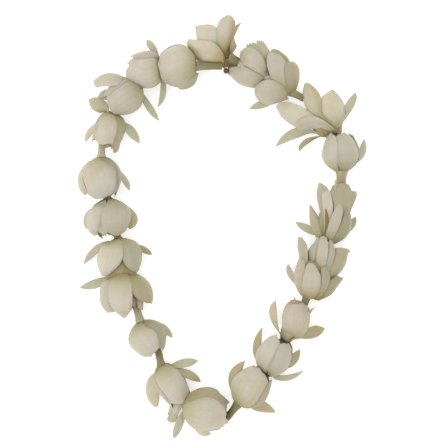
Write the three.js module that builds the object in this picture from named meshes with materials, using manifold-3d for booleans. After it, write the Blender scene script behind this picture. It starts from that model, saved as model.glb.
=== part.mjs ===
// Fresh flower lei: 22 half-open double jasmine flowers on one cotton thread, laid flat in a closed,
// pear-shaped loop. Each flower is an ivory corolla on an olive tube, and its tube sits in the mouth of the
// flower before it.
// Millimetres, +Z up. The lei lies on z = 0 and is centred on the origin.
import * as THREE from "three";
import { mergeVertices } from "three/addons/utils/BufferGeometryUtils.js";
import Module from "manifold-3d";

const wasm = await Module();
wasm.setup();

// Driving dimensions
const CLEARANCE = 0.3; // between pieces that touch
const PETAL_THICKNESS = 0.7;
const THREAD_RADIUS = 0.4;
const THREAD_SIDES = 8;
const THREAD_STEPS = 60;
const TUBE_RADIUS = 1.7;
const TUBE_WIDENING = 0.2; // how much larger its radius is where it is seated in the corolla
const TUBE_SIDES = 8;
const BORE_RADIUS = 1.1; // the hollow of the tube, which the thread runs through
const SEAT_ROOM = 0.75; // how much wider the corolla's hollow is than the tube, in radius
const SEAT_DEPTH = 1; // how far the tube reaches into the foot of the corolla
const NECK_WALL = 0.75; // the corolla's wall round that hollow
const NECK_RADIUS = 3.1; // the foot of the corolla, where the globe begins
const WIDEST = 0.45; // where a globe is widest, as a share of its length
const SHOULDER = 0.8; // how the globe swells from its foot: below 1 it has a fuller shoulder
const RING_SHARES = [0.12, 0.34, 0.6, 0.84, 1]; // the rings of its outside, as shares of the way to the rim
const OPEN_FLOOR = 0.32; // the floor of an open mouth, as a share of the globe's length
const CLOSED_FLOOR = 0.74; // and that of a mouth that is nearly closed
const OPEN_MOUTH = 4.5; // a mouth wider than this radius shows the whorl inside it
const FLAT_DEPTH = 0.5; // how much of a round underside is pressed flat where the flower rests
const WHORL_LOBES = 3;
const LOBE_GAP = 3; // degrees between the edges of two lobes side by side
const SHORTEST_TIP = 0.94; // where the tips of the inner lobes end, as a share of the globe's length
const TIP_SPREAD = 0.08; // how much further the longest may reach
const LOBE_COLUMNS = [-1, -0.33, 0.33, 1]; // across an inner lobe, from its covered edge to its free edge
const NOTCH = 0.13; // how far the rim dips between two lobes, as a share of the globe's length
const EDGE_STEP = 0.45; // a free edge stands this much above the globe, and a covered edge as much below
const STEP_START = 0.25; // the edges stand apart in full from this share of the globe's length
const LOBE_FOOT = 0.08; // where the outer lobes are rooted, as a share of the globe's length
const LOBE_CUP = 0.25; // how far a lobe's edges curl in, as a share of its half width
const LOBE_ROWS = 3;
const LOBE_WIDEST = 0.58; // where an outer lobe is widest, as a share of its length
const FOOT_WIDTH = 0.45; // how wide it is at its foot, as a share of its width
const POINT_WIDTH = 0.12; // and at its point, unless its end is blunt
const POINT_SHAPE = 1.5; // how long the sides stay full before they run in to the point
const NARROW_LOBE = 5.2; // outer lobes up to this width are flat across
const SWIRL = 18; // degrees that the inner lobes wind round the flower from foot to tip
const THREAD_EXIT = 0.45; // where the thread leaves the first tube's side, as a share of the way from its end
const KNOT_RADIUS = 1.3;
const KNOT_CORE = 0.8; // the radius of the knot's core, as a share of its own
const KNOT_LEAN = 1.2; // radians that the turn round the core leans over
const TAIL_STEPS = 2;
const KNOT_PLACE = [2.5, 76, 8];
const THREAD_TAILS = [
  [[3.4, 73.6, 5.6], [5.6, 73, 3]],
  [[4.2, 77.2, 4.6], [6.6, 77, 2.6]],
];
const PETAL_COLOUR = "#e8e2cd";
const PETAL_ROUGHNESS = 0.55;
const TUBE_COLOUR = "#928c5e";
const TUBE_ROUGHNESS = 0.6;
const THREAD_COLOUR = "#8a7656";
const THREAD_ROUGHNESS = 0.9;

// The middle of the lei's box in plan, told from the same point as the places below: it becomes the origin
const MIDDLE = [0.54, 0.24];

// The flowers in their order on the thread, with their places on the lei as it lies: in plan the end of the
// tube and the base and the mouth of the globe, and for each outer lobe its tip and a place halfway, with
// their heights. radius is the globe's, open is its mouth's, tube is that of a thicker tube, and turn rolls
// the inner lobes about the flower's axis, so that one of their ridges lies on the surface below. height is
// that of a flower held up by its spread lobes, and blunt is the width of a lobe's end as a share of its own.
const FLOWERS = [
  {
    end: [9.5, 79.5], base: [4, 82], mouth: [-4.5, 92.5], radius: 7.6, open: 6.2, turn: -8, tube: 2.2,
    lobes: [
      { via: [-6.6, 85, 13], tip: [-10.4, 91, 13], width: 12.8, blunt: 0.9 },
      { via: [-4.8, 91.5, 10], tip: [-7.8, 98.4, 9], width: 11.4, blunt: 0.85 },
      { via: [2.6, 92.5, 10], tip: [3, 102.36, 8], width: 8.4, blunt: 0.4 },
      { via: [5, 92.5, 6], tip: [9.8, 99.8, 5], width: 2.8 },
    ],
  },
  {
    end: [0.5, 78], base: [-11.8, 78], mouth: [-29, 78], radius: 10.2, open: 4, turn: 33,
    lobes: [
      { via: [-13.5, 72.5, 5], tip: [-20.5, 68, 4], width: 7 },
    ],
  },
  {
    end: [-24, 77.5], base: [-27, 77], mouth: [-44.5, 76], radius: 8.9, open: 4, turn: -8,
    lobes: [
      { via: [-33, 87.5, 7], tip: [-36, 91, 5], width: 3.2 },
      { via: [-28, 66, 4], tip: [-30.5, 59.5, 1.5], width: 3.5 },
    ],
  },
  {
    end: [-37, 70.5], base: [-38.5, 68.5], mouth: [-54, 59], radius: 8.8, open: 4, turn: 71,
    lobes: [
      { via: [-52, 71, 14], tip: [-60, 69.5, 9], width: 5.8, blunt: 0.6 },
      { via: [-54, 65.5, 9], tip: [-57.5, 62, 6], width: 5.5 },
      { via: [-34.5, 58.5, 4], tip: [-30, 52.5, 1.5], width: 3.3 },
    ],
  },
  {
    end: [-50, 58.5], base: [-51, 55.5], mouth: [-56.5, 40], radius: 7.2, open: 4, turn: 33,
    lobes: [
      { via: [-59, 59.5, 8], tip: [-63.5, 62.5, 6], width: 6 },
      { via: [-62, 49, 5], tip: [-65.5, 42, 2.5], width: 4 },
      { via: [-43.5, 47.5, 6], tip: [-39.5, 41.5, 3], width: 4.8 },
      { via: [-50, 41.5, 6], tip: [-52, 37, 4], width: 3.6 },
    ],
  },
  {
    end: [-57, 41.5], base: [-57.5, 34.5], mouth: [-56.5, 14.5], radius: 9.2, open: 4, turn: 71,
    lobes: [
      { via: [-65.1, 28.8, 7], tip: [-65.6, 16.5, 4], width: 8 },
      { via: [-63, 21.5, 11], tip: [-62, 16, 8], width: 4.2 },
      { via: [-47.5, 25.5, 6], tip: [-44.5, 18.5, 3], width: 3.6 },
    ],
  },
  {
    end: [-56, 18], base: [-54, 14.5], mouth: [-52.5, -3.5], radius: 9.9, open: 4.2, turn: -8,
    lobes: [
      { via: [-63, 7, 7], tip: [-63, -0.5, 5], width: 7 },
      { via: [-59.5, 6, 16], tip: [-60.5, -2, 9], width: 7 },
      { via: [-44.5, 7.5, 9], tip: [-44, 0, 7], width: 7 },
    ],
  },
  {
    end: [-50.5, -1.5], base: [-49, -4.5], mouth: [-48, -18.5], radius: 10.2, open: 8, turn: 71,
    lobes: [
      { via: [-55.5, -14, 14], tip: [-54.5, -22.5, 10], width: 9.5 },
      { via: [-42, -13, 14], tip: [-42, -21, 10], width: 9.5 },
      { via: [-60, -9.5, 5], tip: [-66.5, -17, 2], width: 4.6 },
      { via: [-38, -9.5, 6], tip: [-33.5, -12.5, 4], width: 3.2 },
    ],
  },
  {
    end: [-47.5, -16.5], base: [-47, -20], mouth: [-46, -40], radius: 10.2, open: 6, turn: 33,
    lobes: [
      { via: [-59.5, -26, 4], tip: [-68.5, -28.5, 2], width: 4.6 },
      { via: [-35.5, -26.5, 9], tip: [-33.5, -36, 5], width: 10 },
      { via: [-56.5, -32.5, 9], tip: [-54.5, -39.5, 6], width: 8 },
      { via: [-47, -33, 18.5], tip: [-46.5, -42.5, 10], width: 9 },
      { via: [-37.5, -32.5, 10], tip: [-38, -39.5, 7], width: 6 },
    ],
  },
  {
    end: [-42, -32.5], base: [-38.8, -44.5], mouth: [-32, -59.5], radius: 9.2, open: 4, turn: 33,
    lobes: [
      { via: [-28.5, -47, 9], tip: [-23.5, -52.5, 5], width: 4.6 },
      { via: [-39.5, -56, 9], tip: [-36.5, -60.5, 5], width: 4.5 },
    ],
  },
  {
    end: [-30.5, -57.5], base: [-29, -65.5], mouth: [-19, -83.5], radius: 7.1, open: 4, turn: -8,
    lobes: [
      { via: [-33.5, -75.5, 6], tip: [-31, -86, 3.5], width: 6.5 },
      { via: [-18, -64.5, 7], tip: [-11, -63.5, 5], width: 3.8 },
      { via: [-16, -69.5, 8], tip: [-10, -74, 4], width: 4.4 },
      { via: [-24, -87.5, 4], tip: [-26, -91.5, 2], width: 5.5 },
    ],
  },
  {
    end: [-20.5, -81.5], base: [-18, -83.5], mouth: [3, -89.5], radius: 10.2, open: 4, turn: -8,
    lobes: [
      { via: [-7, -77.5, 12], tip: [0, -80.5, 8], width: 5 },
      { via: [-20.5, -95, 4], tip: [-23, -102, 1.5], width: 4 },
      { via: [-11, -95.5, 7], tip: [-5, -99, 4], width: 6.5 },
    ],
  },
  {
    end: [2.5, -91], base: [8, -84], mouth: [20.5, -68], radius: 9.2, open: 4, turn: 33,
    lobes: [
      { via: [5.5, -72.5, 9], tip: [11.5, -63.5, 7], width: 6.5 },
      { via: [17.5, -85.2, 6], tip: [26.5, -88.8, 3], width: 6.4 },
    ],
  },
  {
    end: [19.5, -72], base: [21.5, -70], mouth: [29.5, -53], radius: 8.2, open: 4, turn: -8,
    lobes: [
      { via: [17, -59, 7], tip: [20, -47.5, 5], width: 4.6 },
      { via: [32.5, -65, 8], tip: [38, -58, 6], width: 5.2 },
      { via: [31, -72.3, 3.5], tip: [40, -68.8, 2], width: 3.2 },
    ],
  },
  {
    end: [29.5, -55.5], base: [30.5, -54], mouth: [40, -35.5], radius: 7.4, open: 4, turn: 71,
    lobes: [
      { via: [25, -42.5, 6], tip: [26.5, -34.5, 4], width: 4 },
      { via: [43, -50.5, 7], tip: [50, -48, 4], width: 6 },
    ],
  },
  {
    end: [39.5, -38], base: [41, -33], mouth: [46, -17], radius: 8.5, open: 6.5, turn: 33,
    lobes: [
      { via: [39, -16, 12], tip: [37.5, -3, 8], width: 7 },
      { via: [34, -23, 5], tip: [32.5, -17, 3], width: 3.5 },
      { via: [52.3, -28, 7], tip: [59, -22.8, 4], width: 7 },
    ],
  },
  {
    end: [45.5, -27.5], base: [47, -24], mouth: [50, -9], radius: 7.5, open: 5.5, turn: 33,
    lobes: [
      { via: [48, -13, 15], tip: [49, -3.5, 12], width: 8 },
      { via: [55.5, -15, 9], tip: [61.6, -9.8, 6], width: 10, blunt: 0.5 },
      { via: [43, -15.5, 9], tip: [45, -7, 9], width: 6 },
    ],
  },
  {
    end: [49, -7], base: [50, -5], mouth: [57, 18], radius: 8.3, open: 6.5, turn: -8,
    lobes: [
      { via: [47.5, 11, 10], tip: [47, 22.5, 7], width: 6 },
      { via: [52, 11, 16.5], tip: [53, 22, 12], width: 7 },
      { via: [59.5, 11.5, 15], tip: [61, 21.5, 11], width: 7 },
      { via: [63, 10, 9], tip: [65, 18, 7], width: 6 },
      { via: [43, 4.5, 6], tip: [42, 11.5, 3], width: 4 },
      { via: [42, 0, 4], tip: [36, 3.5, 2.5], width: 3.8 },
      { via: [61, 0, 6], tip: [65, 6, 4], width: 4.8 },
    ],
  },
  {
    end: [57.5, 19.5], base: [58, 27.5], mouth: [57, 45.5], radius: 8.9, open: 4, turn: 33, tube: 2.3,
    lobes: [
      { via: [67, 35, 7], tip: [69, 43.5, 5], width: 4.6 },
    ],
  },
  {
    end: [55.4, 43], base: [52, 46], mouth: [46, 53], radius: 4.8, open: 3.4, turn: -8,
    height: 6.1, tube: 2.2,
    lobes: [
      { via: [37, 54.5, 7], tip: [27, 60, 5], width: 11.5 },
      { via: [43.5, 52.2, 12], tip: [34.4, 52.6, 9.5], width: 6.4, blunt: 0.5 },
      { via: [37, 46.4, 5], tip: [26.4, 39.8, 2], width: 5 },
      { via: [44, 60, 12], tip: [40, 70.5, 8], width: 7.4 },
      { via: [54, 57, 12], tip: [54, 67, 10], width: 10 },
      { via: [61.5, 58.5, 7], tip: [65, 66, 4], width: 4 },
      { via: [41, 42, 4], tip: [38, 37.5, 2], width: 2.6 },
    ],
  },
  {
    end: [40, 62.5], base: [33.5, 65.5], mouth: [21, 76], radius: 9.4, open: 4, turn: 33,
    lobes: [
      { via: [37, 74, 9], tip: [31, 82, 7], width: 8 },
      { via: [28.5, 78, 16], tip: [24.5, 85.5, 9], width: 9 },
      { via: [23, 63.5, 7], tip: [16, 66, 5], width: 7 },
      { via: [22.5, 61.2, 4], tip: [13.5, 58.4, 2], width: 4.4 },
    ],
  },
  {
    end: [24, 72.5], base: [22, 74], mouth: [8, 80], radius: 9.2, open: 4, turn: 71,
    lobes: [
      { via: [10.5, 72.5, 10], tip: [3.5, 76.5, 6], width: 8 },
      { via: [19.5, 84, 12], tip: [17.5, 90.5, 7], width: 10 },
      { via: [13, 83, 15], tip: [12, 88, 9], width: 8 },
    ],
  },
];

const UP = new THREE.Vector3(0, 0, 1);
const SAME_PLACE = 1e-4;

// A seeded generator, so that the small differences between flowers are the same in every build
function seededRandom(seed) {
  let state = seed;
  return () => {
    state = (state * 1664525 + 1013904223) % 4294967296;
    return state / 4294967296;
  };
}

// A flower's own frame: its axis from base to mouth, with a side and an up direction square to it
function frameOf(flower) {
  const height = flower.height ?? flower.radius - FLAT_DEPTH;
  const base = new THREE.Vector3(...flower.base, height);
  const mouth = new THREE.Vector3(...flower.mouth, height);
  const end = new THREE.Vector3(...flower.end, height);
  const axis = mouth.clone().sub(base);
  const length = axis.length();
  axis.normalize();
  const side = UP.clone().cross(axis);
  const up = axis.clone().cross(side);
  return { base, mouth, end, axis, length, side, up };
}

function along(frame, share) {
  return frame.base.clone().addScaledVector(frame.axis, frame.length * share);
}

// The direction square to the axis at an angle in degrees: 0 is up, 90 is to the left as the flower faces
function around(frame, degrees) {
  const angle = THREE.MathUtils.degToRad(degrees);
  return frame.up.clone().multiplyScalar(Math.cos(angle)).addScaledVector(frame.side, Math.sin(angle));
}

// The globe's radius at a share of its length: a round shoulder from the neck, then in again to the mouth
function globeRadius(flower, share) {
  const quarter = Math.PI / 2;
  if (share <= 0) return NECK_RADIUS;
  if (share < WIDEST) {
    return NECK_RADIUS + (flower.radius - NECK_RADIUS) * Math.sin(quarter * (share / WIDEST)) ** SHOULDER;
  }
  const past = Math.min(1, (share - WIDEST) / (1 - WIDEST));
  return flower.open + (flower.radius - flower.open) * Math.cos(quarter * past);
}

// How wide an outer lobe is at a share of its length: a narrow foot, widest past the middle, a short point
function lobeOutline(share, endWidth) {
  const quarter = Math.PI / 2;
  if (share < LOBE_WIDEST) return FOOT_WIDTH + (1 - FOOT_WIDTH) * Math.sin(quarter * (share / LOBE_WIDEST));
  const past = (share - LOBE_WIDEST) / (1 - LOBE_WIDEST);
  return Math.max(endWidth, Math.cos(quarter * past ** POINT_SHAPE));
}

// An outer lobe leaves the neck, passes through a place on its way and turns its face up towards the tip
function outerLobeSurface(frame, lobe, margin) {
  const tip = new THREE.Vector3(...lobe.tip);
  const via = new THREE.Vector3(...lobe.via);
  const foot = along(frame, LOBE_FOOT);
  const out = via.clone().sub(foot);
  out.addScaledVector(frame.axis, -out.dot(frame.axis)).normalize();
  const root = foot.addScaledVector(out, NECK_RADIUS);
  const handle = via.clone().multiplyScalar(2).addScaledVector(root.clone().add(tip), -0.5);
  const midrib = new THREE.QuadraticBezierCurve3(root, handle, tip);
  return (share, across) => {
    const inside = THREE.MathUtils.clamp(share, 0, 1);
    const centre = midrib.getPoint(inside);
    const tangent = midrib.getTangent(inside);
    centre.addScaledVector(tangent, (share - inside) * midrib.getLength());
    const face = out.clone().lerp(UP, inside);
    face.addScaledVector(tangent, -face.dot(tangent)).normalize();
    const sideways = tangent.clone().cross(face);
    const half = (lobe.width / 2) * lobeOutline(inside, lobe.blunt ?? POINT_WIDTH) + margin;
    centre.addScaledVector(sideways, half * across);
    return centre.addScaledVector(face, -LOBE_CUP * half * across * across);
  };
}

// A closed blade on a surface of two shares, split into triangles alike on both faces
function bladeGeometry(surface, rows, columns, thickness, overshoot) {
  const positions = [];
  const index = [];
  const step = 0.02;
  for (const face of [0.5, -0.5]) {
    for (let row = 0; row <= rows; row += 1) {
      for (let column = 0; column <= columns; column += 1) {
        const share = (row / rows) * (1 + overshoot);
        const across = (column / columns) * 2 - 1;
        const lengthwise = surface(share + step, across).sub(surface(share - step, across));
        const crosswise = surface(share, across + step).sub(surface(share, across - step));
        const normal = lengthwise.cross(crosswise).normalize();
        positions.push(...surface(share, across).addScaledVector(normal, face * thickness).toArray());
      }
    }
  }
  const under = (rows + 1) * (columns + 1);
  const at = (row, column) => row * (columns + 1) + column;
  const quad = (a, b, c, d) => index.push(a, b, c, a, c, d);
  for (let row = 0; row < rows; row += 1) {
    for (let column = 0; column < columns; column += 1) {
      const [a, b] = [at(row, column), at(row + 1, column)];
      const [c, d] = [at(row + 1, column + 1), at(row, column + 1)];
      index.push(a, b, c, a, c, d);
      index.push(under + a, under + c, under + b, under + a, under + d, under + c);
    }
    quad(at(row, 0), under + at(row, 0), under + at(row + 1, 0), at(row + 1, 0));
    quad(at(row, columns), at(row + 1, columns), under + at(row + 1, columns), under + at(row, columns));
  }
  for (let column = 0; column < columns; column += 1) {
    quad(at(0, column), at(0, column + 1), under + at(0, column + 1), under + at(0, column));
    quad(at(rows, column), under + at(rows, column), under + at(rows, column + 1), at(rows, column + 1));
  }
  const geometry = new THREE.BufferGeometry();
  geometry.setAttribute("position", new THREE.Float32BufferAttribute(positions, 3));
  return geometry.setIndex(index);
}

// A ring turned from a closed profile of [radius, distance] along a direction
function turnedGeometry(profile, sides, start, direction) {
  const points = [...profile, profile[0]].map(([radius, distance]) => new THREE.Vector2(radius, distance));
  const geometry = new THREE.LatheGeometry(points, sides);
  const turn = new THREE.Quaternion().setFromUnitVectors(new THREE.Vector3(0, 1, 0), direction);
  return geometry.applyQuaternion(turn).translate(start.x, start.y, start.z);
}

// A closed geometry as a solid for joins and cuts, once corners in the same place are one
function solidOf(geometry) {
  const bare = geometry.clone();
  bare.deleteAttribute("normal");
  bare.deleteAttribute("uv");
  const merged = mergeVertices(bare, SAME_PLACE);
  const corners = merged.index.array;
  const kept = [];
  for (let i = 0; i < corners.length; i += 3) {
    const [a, b, c] = [corners[i], corners[i + 1], corners[i + 2]];
    if (a !== b && b !== c && c !== a) kept.push(a, b, c);
  }
  const vertProperties = new Float32Array(merged.attributes.position.array);
  return new wasm.Manifold(new wasm.Mesh({ numProp: 3, vertProperties, triVerts: new Uint32Array(kept) }));
}

function geometryOf(solid) {
  const mesh = solid.getMesh();
  const geometry = new THREE.BufferGeometry();
  geometry.setAttribute("position", new THREE.Float32BufferAttribute(mesh.vertProperties, 3));
  geometry.setIndex([...mesh.triVerts]);
  return geometry;
}

// The largest body of a solid: cuts may leave loose scraps, which are dropped
function largestBody(solid) {
  return solid.decompose().sort((a, b) => b.volume() - a.volume())[0];
}

// Everything under the surface that the lei lies on
function groundSolid() {
  const size = 400;
  return solidOf(new THREE.BoxGeometry(size, size, size).translate(0, 0, -size / 2));
}

// The columns of a whorl, round the flower: each lobe's free edge lies over the covered edge of the next
function whorlColumns(turn, random) {
  const columns = [];
  for (let lobe = 0; lobe < WHORL_LOBES; lobe += 1) {
    const tip = SHORTEST_TIP + TIP_SPREAD * random();
    for (const across of LOBE_COLUMNS) {
      const half = 180 / WHORL_LOBES - LOBE_GAP / 2;
      columns.push({ angle: turn + (lobe * 360) / WHORL_LOBES + half * across, across, tip });
    }
  }
  return columns;
}

// The stations of a globe's wall, round its section: up the outside to the rim, down the inside to the floor
// of the mouth and back through the hollow that the tube sits in. Each gives the share of the length and the
// radius for a column.
function globeStations(flower, frame, margin) {
  const grown = margin / frame.length;
  const floor = (flower.open > OPEN_MOUTH ? OPEN_FLOOR : CLOSED_FLOOR) + grown;
  const hollow = (flower.tube ?? TUBE_RADIUS) + SEAT_ROOM;
  const rim = (column) => column.tip - NOTCH * column.across ** 2 + grown;
  const outside = (share, column) => {
    const step = EDGE_STEP * column.across * Math.min(1, share / STEP_START);
    return globeRadius(flower, share) + step + margin;
  };
  const wall = PETAL_THICKNESS + 2 * margin;
  const stations = [() => [-grown, hollow + NECK_WALL + margin]];
  for (const share of RING_SHARES) {
    stations.push((column) => [share * rim(column), outside(share * rim(column), column)]);
  }
  stations.push((column) => [rim(column), outside(rim(column), column) - wall]);
  stations.push(() => [floor, hollow]);
  stations.push(() => [-grown, hollow]);
  return stations;
}

// A ring-shaped skin through all stations of all columns
function whorlGeometry(frame, columns, stations) {
  const positions = [];
  const index = [];
  for (const column of columns) {
    for (const station of stations) {
      const [share, radius] = station(column);
      const place = along(frame, share).addScaledVector(around(frame, column.angle + SWIRL * share), radius);
      positions.push(...place.toArray());
    }
  }
  const count = stations.length;
  for (let c = 0; c < columns.length; c += 1) {
    const next = (c + 1) % columns.length;
    for (let s = 0; s < count; s += 1) {
      const after = (s + 1) % count;
      const [a, b, e, f] = [c * count + s, c * count + after, next * count + after, next * count + s];
      index.push(a, b, e, a, e, f);
    }
  }
  const geometry = new THREE.BufferGeometry();
  geometry.setAttribute("position", new THREE.Float32BufferAttribute(positions, 3));
  return geometry.setIndex(index);
}

// All ivory parts of one flower in one solid, grown by a margin where it is used to cut its neighbours
function petalsSolid(flower, frame, random, margin) {
  const whorl = whorlColumns(flower.turn, random);
  const parts = [solidOf(whorlGeometry(frame, whorl, globeStations(flower, frame, margin)))];
  for (const lobe of flower.lobes) {
    const surface = outerLobeSurface(frame, lobe, margin);
    const thickness = PETAL_THICKNESS + 2 * margin;
    const columns = lobe.width > NARROW_LOBE ? 2 : 1;
    parts.push(solidOf(bladeGeometry(surface, LOBE_ROWS, columns, thickness, margin / frame.length)));
  }
  return wasm.Manifold.union(parts);
}

// The hollow tube from its end in the mouth before to its seat in the foot of its own corolla
function tubeSolid(flower, frame) {
  const radius = flower.tube ?? TUBE_RADIUS;
  const direction = frame.base.clone().sub(frame.end);
  const length = direction.length() + SEAT_DEPTH;
  direction.normalize();
  const profile = [
    [BORE_RADIUS, 0],
    [radius, 0],
    [radius + TUBE_WIDENING, length],
    [BORE_RADIUS, length],
  ];
  return solidOf(turnedGeometry(profile, TUBE_SIDES, frame.end, direction));
}

// The room that a tube needs: filled, and larger by the clearance
function tubeRoom(flower, frame) {
  const radius = (flower.tube ?? TUBE_RADIUS) + CLEARANCE;
  const direction = frame.base.clone().sub(frame.end);
  const length = direction.length() + SEAT_DEPTH + CLEARANCE;
  direction.normalize();
  const profile = [
    [0, -CLEARANCE],
    [radius, -CLEARANCE],
    [radius + TUBE_WIDENING, length],
    [0, length],
  ];
  return solidOf(turnedGeometry(profile, TUBE_SIDES, frame.end, direction));
}

// The thread's round, from the knot through every tube and globe and out through the side of the first tube
function threadRound(frames) {
  const knot = new THREE.Vector3(...KNOT_PLACE);
  const [first, ...others] = frames;
  const points = [knot];
  for (const frame of others) points.push(frame.end, frame.base);
  const exit = first.end.clone().lerp(first.base, THREAD_EXIT);
  points.push(first.end, exit, knot);
  return new THREE.CatmullRomCurve3(points, false, "centripetal");
}

function cordGeometry(curve, steps, radius) {
  const section = new THREE.Shape().absarc(0, 0, radius, 0, 2 * Math.PI);
  return new THREE.ExtrudeGeometry(section, { steps, extrudePath: curve, curveSegments: THREAD_SIDES / 2 });
}

// The thread with its knot, which is a turn round a core, and two cut tails
function threadSolid(round, margin) {
  const knot = new THREE.Vector3(...KNOT_PLACE);
  const radius = THREAD_RADIUS + margin;
  const bodies = [cordGeometry(round, THREAD_STEPS, radius)];
  const core = new THREE.IcosahedronGeometry(KNOT_RADIUS * KNOT_CORE + margin, 1);
  bodies.push(core.translate(...knot.toArray()));
  const turn = new THREE.TorusGeometry(KNOT_RADIUS - THREAD_RADIUS, radius, THREAD_SIDES - 2, THREAD_SIDES);
  bodies.push(turn.rotateY(KNOT_LEAN).translate(...knot.toArray()));
  for (const tail of THREAD_TAILS) {
    const curve = new THREE.CatmullRomCurve3([knot, ...tail.map((place) => new THREE.Vector3(...place))]);
    bodies.push(cordGeometry(curve, TAIL_STEPS, radius));
  }
  return wasm.Manifold.union(bodies.map(solidOf));
}

function overlapBoxes(a, b) {
  const [first, second] = [a.boundingBox(), b.boundingBox()];
  return [0, 1, 2].every((i) => first.min[i] < second.max[i] && second.min[i] < first.max[i]);
}

// What is left of a solid once every cutter that reaches into it is taken away
function trimmed(solid, cutters) {
  const near = cutters.filter((cutter) => overlapBoxes(solid, cutter));
  const reaching = near.filter((cutter) => !solid.intersect(cutter).isEmpty());
  return largestBody(wasm.Manifold.difference([solid, ...reaching]));
}

function finish(colour, roughness) {
  return new THREE.MeshStandardMaterial({ color: colour, roughness, metalness: 0, flatShading: true });
}

function namedMesh(name, solid, material) {
  const mesh = new THREE.Mesh(geometryOf(solid), material);
  mesh.name = name;
  return mesh;
}

// A mesh moved into its flower's group, so that its points are told from the flower's base
function inGroup(group, mesh) {
  mesh.geometry.applyMatrix4(group.matrix.clone().invert());
  group.add(mesh);
}

const frames = FLOWERS.map(frameOf);
const round = threadRound(frames);
const ground = groundSolid();
const threadBore = threadSolid(round, CLEARANCE);
const tubeRooms = frames.map((frame, i) => tubeRoom(FLOWERS[i], frame));
const petalCutters = [];
const lei = new THREE.Group();
lei.position.set(-MIDDLE[0], -MIDDLE[1], 0);

FLOWERS.forEach((flower, i) => {
  const frame = frames[i];
  const number = String(i + 1).padStart(2, "0");
  const group = new THREE.Group();
  group.position.copy(frame.base);
  group.rotation.z = Math.atan2(frame.axis.y, frame.axis.x);
  group.updateMatrix();
  const whole = petalsSolid(flower, frame, seededRandom(i + 1), 0);
  const petals = trimmed(whole, [ground, threadBore, ...tubeRooms, ...petalCutters]);
  petalCutters.push(petalsSolid(flower, frame, seededRandom(i + 1), CLEARANCE));
  const tube = trimmed(tubeSolid(flower, frame), [threadBore]);
  inGroup(group, namedMesh(`flower_${number}_petals`, petals, finish(PETAL_COLOUR, PETAL_ROUGHNESS)));
  inGroup(group, namedMesh(`flower_${number}_tube`, tube, finish(TUBE_COLOUR, TUBE_ROUGHNESS)));
  lei.add(group);
});
lei.add(namedMesh("thread", threadSolid(round, 0), finish(THREAD_COLOUR, THREAD_ROUGHNESS)));

export default lei;
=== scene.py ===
# Fresh flower lei: the looks of 22 half-open double jasmine flowers on a brown cotton thread, seen from above
import math
import random

import bpy
import numpy as np
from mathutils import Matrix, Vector


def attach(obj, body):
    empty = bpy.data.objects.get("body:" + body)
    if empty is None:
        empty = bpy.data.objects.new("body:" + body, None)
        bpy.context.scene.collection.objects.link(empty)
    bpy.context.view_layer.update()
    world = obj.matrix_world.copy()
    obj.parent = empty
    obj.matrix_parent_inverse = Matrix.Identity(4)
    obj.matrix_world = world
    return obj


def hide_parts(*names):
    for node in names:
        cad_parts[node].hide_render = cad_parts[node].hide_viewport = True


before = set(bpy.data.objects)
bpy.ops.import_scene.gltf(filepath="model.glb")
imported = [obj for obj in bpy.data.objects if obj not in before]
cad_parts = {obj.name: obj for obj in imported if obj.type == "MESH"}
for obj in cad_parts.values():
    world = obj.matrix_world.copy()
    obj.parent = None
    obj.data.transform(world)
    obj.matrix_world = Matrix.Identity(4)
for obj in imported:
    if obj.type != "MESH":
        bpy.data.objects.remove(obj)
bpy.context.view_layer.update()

# Sizes in millimetres, which MM turns into metres
MM = 0.001
MIDDLE = (0.54, 0.24)  # the middle of the lei's box in plan, told from the same point as the places below
FLAT_DEPTH = 0.5  # how much of a round underside is pressed flat where the flower rests
PRESS = 0.6  # the height under which the petals are pressed flatter, so that none passes the floor
PETAL_THICKNESS = 0.34
EDGE_THINNING = 0.55  # how much of its thickness a petal loses towards its sides
TIP_THINNING = 0.5
FOOT_RADIUS = 2.0  # the foot of the corolla, where the petals leave the tube
WIDEST = 0.45  # where a globe is widest, as a share of its length
SHOULDER = 0.66  # the power that rounds the globe's shoulder: the less, the rounder
MOUTH_RADIUS = 4  # of a globe, where the list names no other
GAPE = 1.1  # how much wider than in the list a globe stands open, where it names no other
TIGHT = 3.4  # the radius to which the innermost whorl closes round the next flower's tube
WOBBLE = 6  # degrees by which an inner petal may stand off its even place round the axis
EDGE_STEP = 0.22  # a free edge stands this much above the globe, and a covered edge as much below
INNER_STEP = 0.8  # how much of this step the inner petals have
STEP_START = 0.25
EDGE_CURL = 0.12  # how far the very edges turn in
SWIRL = 16  # degrees that the inner lobes wind round the flower from foot to tip
PETAL_FOOT = 0.62  # the width of a globe's petal at its foot, as a share of its greatest width
LOBE_FOOT = 0.08  # where the outer lobes are rooted, as a share of the globe's length
LOBE_CUP = 0.26  # how deep an outer lobe is cupped, as a share of half its width
OPEN_ARCH = 0.26  # how high an open petal arches between its edges, as a share of the way across
RAGGED = 0.12  # how ragged its end is
BROAD = 7  # an outer lobe of this width or more is a petal with a round tip, and a narrower one is pointed
STAIN = 0.1  # how much browner a petal is at its foot
OUTER_STAIN = 0.12
STAIN_REACH = 0.55  # how far up a petal this reaches, as a share of its length
TUBE_RADIUS = 1.7  # where the list names no other
TUBE_SIDES = 30
TUBE_GROWTH = 0.15  # how much wider a tube is at its flower than at its end
TUBE_FLARE = 0.6  # how much wider still where it runs into the petals
TUBE_RIBS = 5
RIB_HEIGHT = 0.02
BORE_RADIUS = 1.1
THREAD_RADIUS = 0.4
PLY_RADIUS = 0.56  # of each of the thread's two plies, as a share of the thread's
PLY_OFFSET = 0.42
PLY_SIDES = 6
PLY_TWIST = 3.2  # radians for each millimetre
THREAD_EXIT = 0.45  # where the thread leaves the first tube, as a share of the way from its end
KNOT_PLACE = (2.5, 76, 8)
KNOT_RADIUS = 1.05
KNOT_TURNS = 3
KNOT_WIDTH = 0.9
KNOT_POINTS = 97
CURVE_STEPS = 12  # the steps of the thread's curve between two given places
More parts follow.
